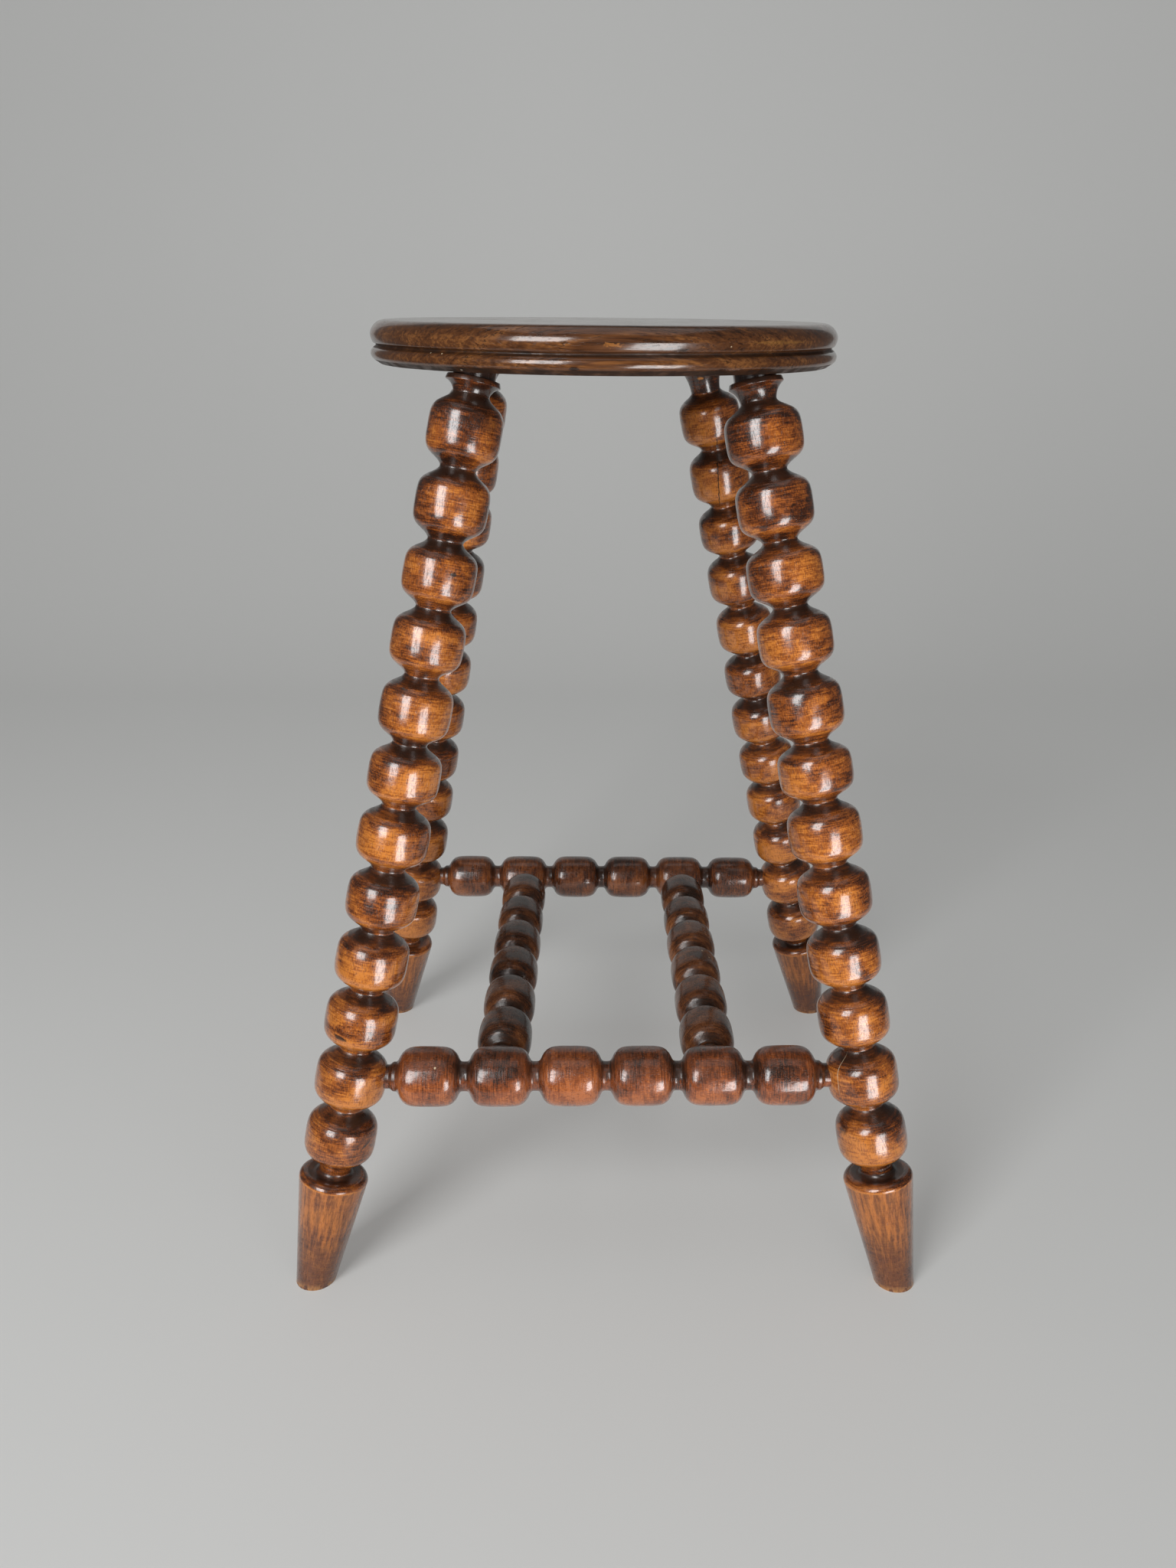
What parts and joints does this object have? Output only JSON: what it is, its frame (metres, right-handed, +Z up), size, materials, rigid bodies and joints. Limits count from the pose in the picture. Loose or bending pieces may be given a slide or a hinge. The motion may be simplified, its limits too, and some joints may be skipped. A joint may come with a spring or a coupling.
{
  "type": "bobbin-turned high stool",
  "caption": "High stool with a round moulded wooden seat on splayed bobbin-turned legs, tied low down by turned stretchers.",
  "frame": {"origin": "on the floor, under the middle of the seat and midway between the feet", "axes": "+Z up, -Y to the front, +X to the right seen from the front"},
  "size_m": [0.4158, 0.3884, 0.6139],
  "materials": {
    "seat_wood": "dark brown open-grained wood, worn gloss varnish",
    "leg_wood": "golden brown mottled stain, gloss varnish",
    "stretcher_wood": "reddish brown stain, gloss varnish",
    "cross_stretcher_wood": "dusty dark brown stain, worn varnish"
  },
  "bodies": {
    "root": {"seat": "seat_wood", "leg_front_left": "leg_wood", "leg_front_right": "leg_wood", "leg_back_left": "leg_wood", "leg_back_right": "leg_wood", "stretcher_front": "stretcher_wood", "stretcher_back": "stretcher_wood", "cross_stretcher_left": "cross_stretcher_wood", "cross_stretcher_right": "cross_stretcher_wood"}
  },
  "joints": []
}
